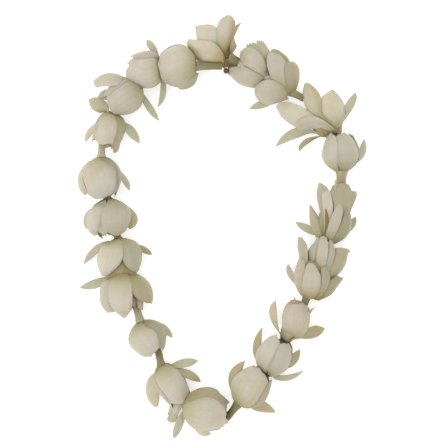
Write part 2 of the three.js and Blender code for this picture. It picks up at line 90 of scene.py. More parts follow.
TAIL_STEPS = 8
THREAD_TAILS = [
    [(4.2, 74.6, 4.8), (6.2, 73.6, 3)],
    [(4.2, 77.2, 4.6), (6.6, 77, 2.6)],
]

# The rows and columns of the petals' meshes
OUTER_MESH = (32, 24)
INNER_MESHES = [(24, 18), (18, 14), (14, 12)]
BROAD_MESH = (28, 18)
NARROW_MESH = (28, 12)
OPEN_MESH = (28, 20)

# The camera: straight above, framing the lei as the photograph does
PIXEL = 0.48  # the size of a pixel on the lei
PHOTO_SIZE = 447
PHOTO_MIDDLE = (1.2, 2.64)  # the middle of the picture, told as the places of the flowers are
PHOTO_HEIGHT = 8.5  # the height on the lei at which a pixel has that size
LENS = 100
SENSOR = 36

# The studio, with the lights in metres and watts
SKY = 1.05
KEY_LIGHT = dict(place=(-0.55, -0.1, 0.75), size=0.7, power=2.4, colour=(1.0, 0.99, 0.97))
FILL_LIGHT = dict(place=(0.3, 0.5, 0.9), size=0.8, power=1.0, colour=(0.98, 0.99, 1.0))
FLOOR_REACH = 3000

# How a petal is tinted: the shares of grey-green, pink and brown in it, and how bright it is, which is partly
# painted light and shade
TINTS = {
    "cream": (0.2, 0.15, 0, 0.6),
    # painted highlight, on petals that face the light
    "bright": (0.05, 0.2, 0, 0.95),
    "pale": (0.3, 0, 0, 0.9),
    "pink": (0, 0.8, 0.1, 0.6),
    "green": (0.6, 0, 0.2, 0.45),
    "olive": (0.5, 0, 0.5, 0.35),
    "grey": (0.95, 0, 0, 0.5),
    # painted shade, on petals and lobes turned from the light
    "dark": (0.8, 0, 0.5, 0.1),
    "brown": (0.1, 0.25, 0.6, 0.4),
    "yellow": (0.15, 0, 1.1, 0.6),
    "straw": (0.3, 0, 0.4, 0.9),
    "blush": (0.05, 0.4, 0.05, 0.7),
    # a browned foot; on flower 18 also a painted shadow between petals
    "foot": (0.2, 0, 1.6, 0.2),
    "striped": (0.25, 0.1, 0.15, 0.6),
}

# The spans from which the globe's petals draw their form: where they end, as a share of the globe's length,
# how blunt they are, how far their corners dip, how their ends wave and come to a point, and how they flare.
# The inner ones draw their tint too
OUTER_SPANS = dict(
    tip=(0.97, 1.02), blunt=(0.72, 0.86), dip=(0.08, 0.14), wave=(0.2, 0.5), point=(0, 0.6), flare=(-0.1, 0.4)
)
INNER_SPANS = dict(
    tip=(0.97, 1.05), blunt=(0.65, 0.8), dip=(0.1, 0.16), wave=(0.05, 0.2), point=(0, 0.6), flare=(-0.1, 0.2),
    green=(0.1, 0.4), pink=(0, 0.3), bright=(0.4, 0.8),
)
# The inner whorls: their turn about the axis and half width in degrees, their size, mouth, least mouth, foot
# and tip as shares of the outer whorl's, and how brown they are
WHORLS = [
    dict(turn=58, width=72, scale=0.92, mouth=0.72, least=0, foot=0.02, tip=0.94, brown=0.04),
    dict(turn=25, width=66, scale=0.8, mouth=0.42, least=0, foot=0.05, tip=0.93, brown=0.1),
    dict(turn=77, width=70, scale=0.64, mouth=0.35, least=0.6, foot=0.08, tip=0.91, brown=0.16),
]


def flower(end, base, mouth, radius, turn, **shape):
    """A flower: its tube's end and its globe's base and mouth in plan, the globe's radius and its turn."""
    return dict(end=end, base=base, mouth=mouth, radius=radius, turn=turn, **shape)


def lobe(via, tip, width, tint="grey", **shape):
    """An outer lobe: a place halfway along it, its tip, its width, its tint and what sets its shape apart."""
    return dict(via=via, tip=tip, width=width, tint=tint, **shape)


def leaf(angle, width, tint="cream", **shape):
    """A petal of the outer whorl: the way it faces, in degrees from straight up, its half width and tint."""
    return dict(angle=angle, width=width, tint=tint, **shape)


def drawn(number, left, right, tint="cream", **shape):
    """An open petal: its flower's number, the places along its two edges from foot to tip and its tint."""
    return dict(number=number, left=left, right=right, tint=tint, **shape)


# The flowers in their order on the thread, with the petals seen on the globe and the outer lobes
FLOWERS = [
    flower((9.5, 79.5), (4, 82), (-4.5, 92.5), 7.6, -8, open=6.2, tube=2.2, skin=(0.1, 0.5, 0), gape=-3,
        core=0.5,
        petals=[leaf(-30, 60, "brown", tip=0.8, stain=1.5), leaf(-100, 45, "brown", tip=0.85, lift=-1),
            leaf(120, 60, lift=-1)],
        lobes=[lobe((5, 92.5, 6), (9.8, 99.8, 5), 2.8, "green", stain=0.7)]),
    flower((0.5, 78), (-11.8, 78), (-29, 78), 10.2, 33, skin=(0.1, 0.3, 0), gape=2.4, shoulder=0.55,
        petals=[leaf(-18, 84, "bright", tip=1.02, blunt=0.9, streak=0.3), leaf(96, 60, "green", tip=0.98),
            leaf(200, 70)],
        lobes=[lobe((-13.5, 72.5, 5), (-20.5, 68, 4), 7, "green", spread=0.75, stain=0.2)]),
    flower((-24, 77.5), (-27, 77), (-44.5, 76), 8.9, -8, gape=2,
        petals=[leaf(10, 72, "bright", tip=1.02, blunt=0.9, wave=1.1, stain=0.45),
            leaf(-86, 50, "pink", tip=0.9, wave=0.3, point=0, streak=-0.3), leaf(100, 60)],
        lobes=[lobe((-33, 87.5, 7), (-36, 91, 5), 3.2, spread=1.2, rooted=1),
            lobe((-28, 66, 4), (-30.5, 59.5, 1.5), 3.5, spread=0.85, blunt=0.3)]),
    flower((-37, 70.5), (-38.5, 68.5), (-54, 59), 8.8, 71,
        petals=[leaf(12, 78, tip=1, blunt=0.85), leaf(98, 44, "grey", tip=0.92), leaf(-95, 60, "pink")],
        lobes=[
            lobe((-52, 71, 14), (-60, 69.5, 9), 5.8, "cream", spread=1.15, blunt=0.65, rooted=0.95, lift=1),
            lobe((-54, 65.5, 9), (-57.5, 62, 6), 5.5, blunt=0.5),
            lobe((-34.5, 58.5, 4), (-30, 52.5, 1.5), 3.3)]),
    flower((-50, 58.5), (-51, 55.5), (-56.5, 40), 7.2, 33, gape=1.9, shoulder=0.42,
        petals=[leaf(-24, 50, "bright", tip=0.97, blunt=0.95, lift=0.35, stain=0.4),
            leaf(52, 56, "olive", tip=0.96), leaf(-100, 56, "pink"), leaf(165, 60)],
        lobes=[lobe((-59, 59.5, 8), (-63.5, 62.5, 6), 6, "green", spread=1.15, rooted=1),
            lobe((-62, 49, 5), (-65.5, 42, 2.5), 4, "pale"), lobe((-43.5, 47.5, 6), (-39.5, 41.5, 3), 4.8),
            lobe((-50, 41.5, 6), (-52, 37, 4), 3.6, "pink")]),
    flower((-57, 41.5), (-57.5, 34.5), (-56.5, 14.5), 9.2, 71, skin=(0, 0, 0.8),
        petals=[leaf(-34, 76, "bright", tip=1, blunt=0.86, stain=0.3, streak=-0.35),
            leaf(20, 48, "pink", tip=0.93, lift=-0.35), leaf(90, 50, "green", tip=0.95), leaf(-150, 60)],
        lobes=[lobe((-65.1, 28.8, 7), (-65.6, 16.5, 4), 8, "pale", blunt=0.3, rooted=0.35, stain=0.6),
            lobe((-63, 21.5, 11), (-62, 16, 8), 4.2, "pale"),
            lobe((-47.5, 25.5, 6), (-44.5, 18.5, 3), 3.6)]),
    flower((-56, 18), (-54, 14.5), (-52.5, -3.5), 9.9, -8, open=4.2, skin=(0.1, 0.2, 0),
        petals=[leaf(42, 58, tip=0.98, blunt=0.85, lift=0.3, swirl=-8, stain=0.3, streak=0.3),
            leaf(-42, 44, tip=0.92, lift=-0.9), leaf(-120, 50, "pink"), leaf(155, 60)],
        lobes=[lobe((-63, 7, 7), (-63, -0.5, 5), 7, "pink", stain=0.25),
            lobe((-59.5, 6, 16), (-60.5, -2, 9), 7, "bright", spread=1.1, rooted=0.9, lift=1.4),
            lobe((-44.5, 7.5, 9), (-44, 0, 7), 7, "olive", spread=1.2, rooted=1, rounding=0.8, blunt=0.05)]),
    flower((-50.5, -1.5), (-49, -4.5), (-48, -18.5), 10.2, 71, core=0.66, open=8, skin=(0.2, 0.2, 0),
        heart="straw", reach=1.22, gape=0.4,
        petals=[leaf(-45, 50, "yellow", tip=0.95, blunt=0.74), leaf(47, 50, "yellow", tip=0.95, blunt=0.72),
            leaf(130, 50, swirl=0), leaf(-130, 50, swirl=0)],
        lobes=[lobe((-60, -9.5, 5), (-66.5, -17, 2), 4.6),
            lobe((-38, -9.5, 6), (-33.5, -12.5, 4), 3.2, "dark")]),
    flower((-47.5, -16.5), (-47, -20), (-46, -40), 10.2, 33, open=6, skin=(0.7, 0, 0.2), core=0.7,
        heart="straw",
        petals=[leaf(0, 50, "yellow", tip=0.85), leaf(-90, 50, tip=0.9, stain=0.3),
            leaf(80, 50, "olive", tip=0.8, stain=0.4), leaf(170, 70)],
        lobes=[lobe((-59.5, -26, 4), (-68.5, -28.5, 2), 4.6)]),
    flower((-42, -32.5), (-38.8, -44.5), (-32, -59.5), 9.2, 33, skin=(0, 0, 0.45),
        petals=[leaf(-38, 66, "bright", tip=1, blunt=0.85), leaf(62, 56, "olive", tip=1), leaf(165, 66)],
        lobes=[lobe((-28.5, -47, 9), (-23.5, -52.5, 5), 4.6, "green"),
            lobe((-39.5, -56, 9), (-36.5, -60.5, 5), 4.5, "pale")]),
    flower((-30.5, -57.5), (-29, -65.5), (-19, -83.5), 7.1, -8, skin=(0.75, 0.25, 0),
        petals=[leaf(-4, 80, "bright", tip=1, blunt=0.7, step=0.3, stain=0.25),
            leaf(96, 48, "brown", tip=0.95), leaf(-110, 56, "pink")],
        lobes=[lobe((-33.5, -75.5, 6), (-31, -86, 3.5), 6.5, "cream", spread=1.15, rooted=1, blunt=0.32),
            lobe((-18, -64.5, 7), (-11, -63.5, 5), 3.8, spread=1.15),
            lobe((-16, -69.5, 8), (-10, -74, 4), 4.4, "olive", stain=0.6),
            lobe((-24, -87.5, 4), (-26, -91.5, 2), 5.5, spread=1.1, blunt=0.4)]),
    flower((-20.5, -81.5), (-18, -83.5), (3, -89.5), 10.2, -8, gape=1.8,
        petals=[leaf(-36, 72, "bright", tip=1, wave=1.3, blunt=0.85, step=0.3, stain=0.25),
            leaf(66, 56, "brown", tip=0.95), leaf(-125, 44, "pale", tip=0.95, wave=1), leaf(170, 60)],
        lobes=[lobe((-7, -77.5, 12), (0, -80.5, 8), 5, "brown"), lobe((-20.5, -95, 4), (-23, -102, 1.5), 4),
            lobe((-11, -95.5, 7), (-5, -99, 4), 6.5, "pale")]),
    flower((2.5, -91), (8, -84), (20.5, -68), 9.2, 33, skin=(0, 0.7, 0),
        # its bright petal is a painted highlight and its browner right side painted shade
        petals=[leaf(8, 84, "bright", tip=0.98, blunt=0.88, stain=0.3, streak=-0.25),
            leaf(-98, 54, "olive", tip=0.98), leaf(150, 66)],
        lobes=[lobe((5.5, -72.5, 9), (11.5, -63.5, 7), 6.5, "brown"),
            lobe((17.5, -85.2, 6), (26.5, -88.8, 3), 6.4, "olive", rooted=1.2)]),
    flower((19.5, -72), (21.5, -70), (29.5, -53), 8.2, -8,
        petals=[leaf(42, 46, "bright", tip=1.03, lift=0.35, swirl=4, stain=0.1),
            leaf(-46, 58, tip=0.96, stain=0.2), leaf(-150, 60), leaf(130, 50)],
        lobes=[lobe((17, -59, 7), (20, -47.5, 5), 4.6, "olive"),
            lobe((32.5, -65, 8), (38, -58, 6), 5.2, "dark", spread=1.15, rooted=1.1),
            lobe((31, -72.3, 3.5), (40, -68.8, 2), 3.2)]),
    flower((29.5, -55.5), (30.5, -54), (40, -35.5), 7.4, 71, core=0.58, skin=(0.7, 0.2, 0),
        petals=[leaf(-8, 56, tip=0.96, blunt=0.8, lift=0.3, stain=0.4), leaf(66, 42, "brown", tip=1),
            leaf(-92, 44, "brown", tip=1), leaf(175, 60)],
        lobes=[lobe((25, -42.5, 6), (26.5, -34.5, 4), 4, "pink", spread=1.15),
            lobe((43, -50.5, 7), (50, -48, 4), 6, "dark", spread=1.15, rooted=1)]),
    flower((39.5, -38), (41, -33), (46, -17), 8.5, 33, core=0.76, open=6.5, skin=(0.3, 0.5, 0), reach=0.8,
        petals=[leaf(60, 32, "pink", tip=0.85),
            leaf(12, 32, "pink", tip=0.85, lift=0.4, swirl=4, stain=0.15), leaf(-44, 28, "pale", tip=0.85),
            leaf(-92, 36, "olive", tip=0.85), leaf(175, 70)],
        lobes=[lobe((34, -23, 5), (32.5, -17, 3), 3.5, stain=0.2)]),
    flower((45.5, -27.5), (47, -24), (50, -9), 7.5, 33, core=0.76, open=5.5, skin=(0.3, 0.4, 0), reach=0.85,
        petals=[leaf(8, 34, tip=0.9, stain=0.5), leaf(-52, 42, "green", tip=0.95),
            leaf(72, 36, "olive", tip=0.95), leaf(180, 66)]),
    flower((49, -7), (50, -5), (57, 18), 8.3, -8, core=0.74, open=6.5, skin=(0.4, 0.2, 0), reach=0.6,
        petals=[leaf(30, 30, "brown", tip=0.7), leaf(-6, 30, "brown", tip=0.7),
            leaf(-50, 34, "brown", tip=0.75), leaf(80, 34, "olive", tip=0.85),
            leaf(-115, 40, "olive", tip=0.9), leaf(175, 50)],
        lobes=[lobe((42, 0, 4), (36, 3.5, 2.5), 3.8, stain=0.2),
            lobe((61, 0, 6), (65, 6, 4), 4.8, "olive", rooted=1.3),
            lobe((53.9, 17, 14), (54.2, 23.4, 13), 1)]),
    flower((57.5, 19.5), (58, 27.5), (57, 45.5), 8.9, 33, tube=2.3, skin=(0.3, 0, 0.4),
        petals=[leaf(54, 42, "bright", tip=1.02, lift=0.3, swirl=2, hand=-1),
            leaf(-32, 60, tip=1, stain=0.3), leaf(-125, 46, "green"), leaf(150, 56)],
        lobes=[lobe((67, 35, 7), (69, 43.5, 5), 4.6)]),
    flower((55.4, 43), (52, 46), (46, 53), 4.8, -8, core=0.9, open=3.4, tube=2.2, height=6.1,
        skin=(0.1, 0.3, 0), reach=0.8, shoulder=0.45,
        petals=[leaf(-40, 66, "yellow", tip=0.9), leaf(80, 66, "yellow", tip=0.9), leaf(200, 60, "yellow")],
        lobes=[lobe((37, 46.4, 5), (26.4, 39.8, 2), 5),
            lobe((61.5, 58.5, 7), (65, 66, 4), 4, spread=1.1, rooted=1.7),
            lobe((41, 42, 4), (38, 37.5, 2), 2.6, "dark")]),
    flower((40, 62.5), (33.5, 65.5), (21, 76), 9.4, 33, core=0.6, skin=(0.2, 0.15, 0),
        petals=[leaf(-40, 50, tip=0.85), leaf(38, 52, tip=0.9, blunt=0.75, stain=0.2),
            leaf(-115, 40, "olive"), leaf(125, 50)],
        lobes=[lobe((22.5, 61.2, 4), (13.5, 58.4, 2), 4.4)]),
    flower((24, 72.5), (22, 74), (8, 80), 9.2, 71, core=0.6, skin=(0, 0.3, 0), gape=1,
        petals=[leaf(-14, 62, tip=0.86, blunt=0.9), leaf(74, 50, "pink", tip=0.85),
            leaf(-84, 50, "green", tip=0.85), leaf(170, 60)]),
]

# The petals that stand open, with the places of their edges told in tenths of a millimetre
OPEN_PETALS = [
    drawn(1, [(106, 786, 55), (63, 782, 50), (19, 780, 50), (-19, 786, 55)],
        [(101, 804, 70), (72, 809, 80), (53, 830, 90), (24, 838, 102)], "foot", arch=0.2),
    drawn(1, [(19, 802, 80), (24, 848, 98), (34, 896, 99), (48, 940, 93)],
        [(38, 799, 65), (58, 852, 70), (74, 876, 65), (65, 910, 65), (60, 953, 70)], "brown", stain=2.4),
    drawn(1, [(5, 810, 95), (-19, 865, 115), (-24, 922, 117), (-17, 973, 110), (-2, 1004, 100),
        (19, 1022, 90)],
        [(43, 820, 90), (48, 877, 95), (58, 926, 90), (67, 965, 85), (67, 997, 80), (53, 1021, 80)],
        stain=2.4, streak=1.1, bulge=0.4),
    drawn(1, [(10, 812, 80), (-33, 848, 100), (-72, 879, 115), (-105, 896, 113), (-117, 911, 110)],
        [(29, 833, 100), (19, 895, 105), (-5, 947, 105), (-43, 977, 100), (-86, 979, 96), (-125, 972, 96)],
        "pale", arch=0.15, stain=1.2),
    drawn(1, [(14, 789, 70), (-43, 788, 60), (-87, 793, 60), (-116, 813, 55), (-142, 843, 60),
        (-159, 876, 65)],
        [(19, 822, 110), (-9, 867, 132), (-43, 893, 136), (-81, 899, 132), (-119, 903, 124),
        (-158, 909, 110)], "bright", stain=0.9),
    drawn(8, [(-519, -76, 130), (-547, -147, 135), (-553, -200, 130), (-549, -238, 120)],
        [(-429, -76, 130), (-404, -147, 135), (-400, -195, 130), (-406, -224, 120)], "yellow", arch=0.15,
        stain=0.4),
    drawn(8, [(-489, -47, 145), (-477, -89, 182), (-469, -127, 186), (-458, -158, 182), (-435, -188, 168),
        (-411, -204, 150)],
        [(-460, -43, 95), (-410, -60, 85), (-382, -101, 80), (-380, -139, 80), (-386, -173, 80),
        (-399, -206, 90)], "green", streak=0.4),
    drawn(8, [(-518, -53, 90), (-571, -84, 85), (-594, -135, 80), (-589, -187, 80), (-571, -225, 90)],
        [(-475, -47, 150), (-460, -89, 186), (-460, -127, 190), (-477, -162, 183), (-507, -196, 165),
        (-542, -225, 140)], "bright", stain=0.3),
    drawn(9, [(-433, -257, 130), (-410, -319, 130), (-396, -377, 115)],
        [(-401, -248, 120), (-373, -320, 105), (-374, -389, 85)], "pink", bulge=0.4),
    drawn(9, [(-504, -207, 80), (-564, -250, 80), (-579, -308, 75), (-572, -361, 75), (-552, -394, 80)],
        [(-479, -213, 150), (-513, -264, 173), (-521, -321, 175), (-515, -365, 160), (-502, -394, 140)],
        stain=0.3, streak=-0.25),
    drawn(9, [(-480, -209, 138), (-449, -255, 178), (-425, -295, 183), (-395, -331, 166), (-355, -354, 126)],
        [(-446, -199, 90), (-392, -220, 80), (-354, -250, 70), (-332, -287, 65), (-328, -328, 60),
        (-334, -362, 60)], "olive", stain=0.4),
    drawn(9, [(-490, -204, 140), (-526, -259, 180), (-532, -321, 183), (-518, -369, 170), (-491, -401, 150),
        (-471, -419, 140)],
        [(-447, -204, 140), (-422, -255, 183), (-417, -316, 186), (-421, -364, 170), (-434, -396, 150),
        (-450, -418, 140)], "bright", arch=0.1, bulge=0.3, stain=0.9),
    drawn(11, [(-245, -804, 70), (-243, -848, 64), (-229, -887, 60)],
        [(-177, -791, 90), (-185, -846, 80), (-205, -891, 64)], "pale", arch=0.2),
    drawn(15, [(322, -476, 70), (298, -409, 75), (315, -360, 80), (336, -340, 80)],
        [(399, -476, 80), (418, -408, 85), (410, -369, 90), (379, -343, 90)], "brown", arch=0.2, bulge=0.3),
    drawn(15, [(336, -526, 80), (297, -484, 100), (291, -430, 110), (299, -387, 115), (318, -361, 110)],
        [(380, -526, 80), (417, -479, 95), (426, -426, 95), (424, -388, 95), (414, -364, 100)], "blush",
        bulge=0.6, stain=0.4),
    drawn(16, [(394, -293, 80), (372, -206, 85), (376, -135, 80), (368, -82, 75), (371, -39, 75)],
        [(420, -262, 120), (412, -176, 130), (415, -114, 120), (409, -72, 105), (385, -36, 85)], "green"),
    drawn(16, [(446, -338, 90), (492, -296, 115), (525, -243, 120), (555, -222, 105)],
        [(477, -340, 60), (531, -314, 55), (562, -273, 50), (593, -232, 45)], "dark", stain=1.2),
    drawn(16, [(395, -332, 70), (361, -279, 65), (353, -222, 65), (363, -171, 70), (380, -137, 80)],
        [(420, -329, 120), (409, -266, 140), (402, -204, 144), (401, -162, 138), (396, -135, 125)], "pink",
        stain=0.3),
    drawn(16, [(434, -334, 120), (465, -280, 150), (473, -227, 157), (473, -185, 150)],
        [(470, -335, 95), (508, -281, 120), (520, -233, 125), (515, -191, 125)], "olive", bulge=1,
        stain=0.9),
    drawn(16, [(402, -335, 100), (385, -280, 138), (392, -218, 150), (406, -171, 148)],
        [(444, -334, 120), (470, -280, 156), (472, -222, 162), (448, -173, 158)], "blush", bulge=1.2,
        arch=0.15, stain=0.8),
    drawn(17, [(474, -249, 105), (505, -186, 130), (534, -128, 130), (546, -88, 120)],
        [(496, -270, 65), (549, -231, 60), (591, -188, 55), (608, -145, 55), (612, -121, 60),
        (622, -107, 60)], "olive", bulge=1),
    drawn(17, [(436, -254, 95), (405, -206, 100), (400, -158, 95)],
        [(482, -253, 120), (476, -199, 140), (457, -157, 140)], "yellow", bulge=0.8),
    drawn(17, [(447, -221, 70), (411, -159, 75), (411, -120, 75), (428, -89, 75), (450, -63, 75),
        (461, -41, 75)],
        [(473, -224, 115), (462, -147, 130), (471, -95, 135), (477, -52, 125), (468, -37, 110)], "green"),
    drawn(17, [(478, -234, 115), (495, -162, 138), (509, -100, 142), (512, -57, 130)],
        [(502, -243, 115), (531, -166, 136), (542, -104, 138), (535, -59, 125)], "green", bulge=0.6),
    drawn(17, [(459, -225, 110), (451, -147, 136), (459, -90, 142), (473, -40, 125)],
        [(487, -234, 120), (501, -157, 146), (510, -95, 150), (505, -43, 135)], "blush", bulge=0.8,
        arch=0.15),
    drawn(18, [(462, -48, 75), (438, -5, 70), (427, 43, 65), (426, 82, 60), (427, 117, 55)],
        [(492, -48, 110), (478, 14, 110), (467, 58, 95), (447, 93, 75), (431, 118, 60)], "green", stain=0.4),
    drawn(18, [(523, -58, 90), (574, 0, 106), (600, 77, 108), (613, 134, 103), (618, 185, 95)],
        [(553, -67, 70), (605, 10, 80), (623, 94, 75), (640, 127, 70), (653, 161, 70), (652, 181, 75)],
        "olive"),
    drawn(18, [(479, -43, 100), (478, 19, 105), (477, 72, 105), (464, 125, 102), (458, 158, 98),
        (461, 192, 95), (469, 221, 90)],
        [(501, -43, 125), (504, 24, 140), (514, 91, 142), (518, 138, 138), (516, 172, 130), (505, 199, 120),
        (477, 222, 98)], "green", arch=0.15, stain=1.4),
    drawn(18, [(507, -52, 110), (528, 15, 145), (536, 81, 152), (532, 133, 153), (520, 176, 140),
        (532, 208, 125)],
        [(537, -62, 90), (584, -5, 105), (607, 62, 110), (623, 124, 105), (627, 177, 100), (613, 211, 100)],
        "olive", arch=0.18, bulge=0.8),
    drawn(18, [(511, -62, 110), (552, 0, 140), (579, 57, 149), (597, 105, 136)],
        [(549, -72, 65), (597, -43, 70), (626, 12, 70), (622, 55, 75), (608, 98, 95)], "dark"),
    drawn(18, [(487, -38, 115), (490, 24, 140), (487, 86, 146), (480, 138, 146), (479, 176, 136)],
        [(506, -43, 120), (522, 24, 150), (531, 81, 156), (529, 133, 156), (519, 181, 146)], "bright",
        arch=0.1, bulge=0.4, stain=1.1),
    drawn(18, [(483, -52, 110), (503, 5, 150), (526, 67, 164), (548, 109, 160), (557, 121, 157)],
        [(525, -62, 115), (556, 0, 148), (574, 57, 159), (576, 100, 157), (567, 120, 156)], "blush",
        arch=0.1, stain=0.4),
    # a dark strip of painted shadow between the petals
    drawn(18, [(489, -38, 124), (493, 15, 150), (494, 62, 155), (496, 100, 152)],
        [(501, -38, 126), (509, 15, 154), (510, 57, 158), (499, 100, 154)], "foot", arch=0.1),
    drawn(20, [(505, 491, 70), (433, 482, 65), (371, 487, 60), (323, 514, 55), (290, 544, 50),
        (270, 579, 50)],
        [(507, 516, 110), (439, 548, 125), (396, 578, 120), (354, 598, 110), (314, 611, 95), (276, 605, 80)],
        "pale", bulge=0.5),
    drawn(20, [(547, 470, 90), (511, 509, 110), (480, 547, 120), (472, 587, 120), (479, 626, 115),
        (509, 653, 108), (531, 668, 100)],
        [(578, 467, 60), (584, 505, 70), (598, 544, 70), (600, 577, 70), (587, 611, 75), (564, 643, 85),
        (538, 668, 96)], "pale", arch=0.15, stain=0.4),
    drawn(20, [(531, 474, 100), (463, 521, 115), (416, 561, 115), (394, 612, 105), (392, 661, 95),
        (400, 698, 85)],
        [(545, 483, 110), (500, 522, 130), (476, 555, 135), (478, 596, 130), (474, 635, 120),
        (440, 684, 105), (419, 701, 93)], "striped", arch=0.1, streak=0.6),
    drawn(20, [(563, 452, 70), (504, 468, 80), (451, 481, 85), (404, 476, 80), (366, 475, 70)],
        [(555, 471, 110), (515, 500, 130), (473, 527, 140), (433, 539, 140), (391, 534, 128),
        (361, 516, 110)], "blush", arch=0.15, stain=0.5),
    drawn(21, [(529, 490, 75), (543, 471, 80), (554, 442, 86)],
        [(579, 495, 75), (580, 471, 80), (574, 442, 86)], "yellow", stain=0.3),
    drawn(21, [(257, 710, 130), (238, 784, 145), (233, 833, 135), (241, 858, 120)],
        [(340, 704, 100), (337, 770, 110), (321, 816, 105), (280, 854, 105)], "dark", arch=0.1, bulge=0.2),
    drawn(21, [(243, 690, 140), (230, 735, 160), (217, 782, 165), (221, 826, 155), (235, 844, 145)],
        [(315, 653, 125), (311, 708, 150), (310, 754, 158), (306, 793, 150), (286, 826, 138)], arch=0.12),
    drawn(21, [(316, 645, 110), (307, 689, 145), (301, 734, 165), (303, 778, 160), (313, 793, 150)],
        [(360, 665, 80), (373, 706, 85), (377, 744, 85), (371, 777, 90), (352, 798, 100)], "olive",
        stain=0.4),
    drawn(21, [(327, 626, 65), (275, 608, 60), (222, 599, 55), (186, 615, 55), (166, 639, 60)],
        [(314, 657, 135), (275, 693, 155), (237, 709, 155), (195, 704, 135), (162, 680, 105)], arch=0.22,
        stain=0.2),
    drawn(22, [(187, 760, 75), (194, 730, 84), (197, 697, 76)],
        [(236, 760, 75), (235, 730, 84), (228, 697, 76)], "pale"),
    drawn(22, [(224, 747, 140), (195, 813, 145), (172, 867, 128), (167, 902, 110)],
        [(248, 777, 125), (234, 845, 120), (220, 873, 110), (199, 902, 98)], "green", arch=0.1, ragged=0.5),
    drawn(22, [(204, 736, 150), (171, 802, 156), (133, 847, 136), (122, 869, 120), (121, 883, 110)],
        [(233, 756, 142), (200, 826, 150), (176, 866, 135), (162, 894, 116)], "olive", arch=0.1, ragged=0.9,
        stain=0),
    drawn(22, [(236, 698, 70), (169, 680, 60), (125, 686, 55), (92, 698, 50), (58, 726, 50), (32, 759, 52)],
        [(234, 727, 110), (176, 750, 150), (133, 767, 152), (100, 776, 126), (67, 778, 92), (37, 777, 70)],
        "blush"),
    drawn(22, [(224, 716, 120), (171, 744, 160), (128, 768, 158), (102, 783, 134), (92, 807, 115)],
        [(228, 737, 140), (204, 801, 164), (176, 839, 160), (143, 864, 139), (117, 867, 114), (93, 851, 95)],
        arch=0.12),
]


def linear(colour):
    """A colour written as #rrggbb, as the linear values that a shader takes."""
    channels = [int(colour[i : i + 2], 16) / 255 for i in (1, 3, 5)]
    return [c / 12.92 if c <= 0.04045 else ((c + 0.055) / 1.055) ** 2.4 for c in channels] + [1.0]


def unit(vectors):
    return vectors / np.linalg.norm(vectors, axis=-1, keepdims=True)


def smooth(value):
    value = np.clip(value, 0, 1)
    return value * value * (3 - 2 * value)


def in_place(point):
    """A place of the lists above, in the lei's own frame."""
    return np.array([point[0] - MIDDLE[0], point[1] - MIDDLE[1], point[2]], float)


def frame_of(flower):
    """A flower's own frame: its axis from base to mouth, with a side and an up direction square to it."""
    height = flower.get("height", flower["radius"] - FLAT_DEPTH)
    base, mouth, end = [in_place((*flower[key], height)) for key in ("base", "mouth", "end")]
    length = np.linalg.norm(mouth - base)
    axis = (mouth - base) / length
    side = np.cross([0, 0, 1], axis)
    return dict(base=base, mouth=mouth, end=end, axis=axis, length=length, side=side, up=np.cross(axis, side))


def globe_radius(flower, share, opening):
    """The globe's radius along it: a round shoulder from the foot, then in again to the mouth."""
    radius = flower["radius"] * flower.get("core", 1)
    rising = np.clip(share / WIDEST, 0, 1)
    past = np.clip((share - WIDEST) / (1 - WIDEST), 0, 1.25)
    shoulder = np.sin(math.pi / 2 * rising) ** flower.get("shoulder", SHOULDER)
    swelling = FOOT_RADIUS + (radius - FOOT_RADIUS) * shoulder
    closing = opening + (radius - opening) * np.cos(math.pi / 2 * past)
    return np.where(share < WIDEST, swelling, closing)


def globe_petal(flower, own, petal, source):
    """The surface of one petal of a globe, as a function of shares along it and across it."""
    phase = source.uniform(0, 2 * math.pi)
    ripple = 0.16 + source.uniform(-0.07, 0.07)

    def surface(t, v):
        width = PETAL_FOOT + (1 - PETAL_FOOT) * np.sin(math.pi / 2 * np.clip(t / 0.5, 0, 1))
        narrowing = np.clip((t - 0.5) / 0.5, 0, 1)
        width = petal["width"] * width * (1 - (1 - petal["blunt"]) * narrowing ** 2.2)
        dip = petal["dip"] * np.abs(v) ** 2.2 * t ** 2
        wave = petal["wave"] * np.sin(v * 7 + phase) * np.sin(v * 2.3 + phase) * smooth((t - 0.7) / 0.3)
        wave *= 1 - v ** 4
        share = petal["foot"] + (petal["tip"] - petal["foot"]) * t * (1 - dip) + wave / own["length"]
        point = petal["point"] / own["length"] * np.exp(-((v / 0.16) ** 2))
        share += point * smooth((t - 0.8) / 0.2)
        radius = globe_radius(flower, share, petal["opening"]) * petal["scale"]
        radius += EDGE_STEP * petal["hand"] * v * np.clip(share / STEP_START, 0, 1) * petal["step"]
        radius += petal["lift"] * smooth(share / STEP_START)
        radius += petal["flare"] * smooth((t - 0.62) / 0.38) ** 2
        radius -= EDGE_CURL * smooth((np.abs(v) - 0.8) / 0.2) * petal["step"]
        radius += ripple * np.sin(v * 5.3 + phase) * smooth((t - 0.35) / 0.5)
        angle = np.radians(petal["angle"] + width * v + petal["swirl"] * share)
        out = np.cos(angle)[..., None] * own["up"] + np.sin(angle)[..., None] * own["side"]
        return own["base"] + own["axis"] * (own["length"] * share)[..., None] + out * radius[..., None]

    return surface


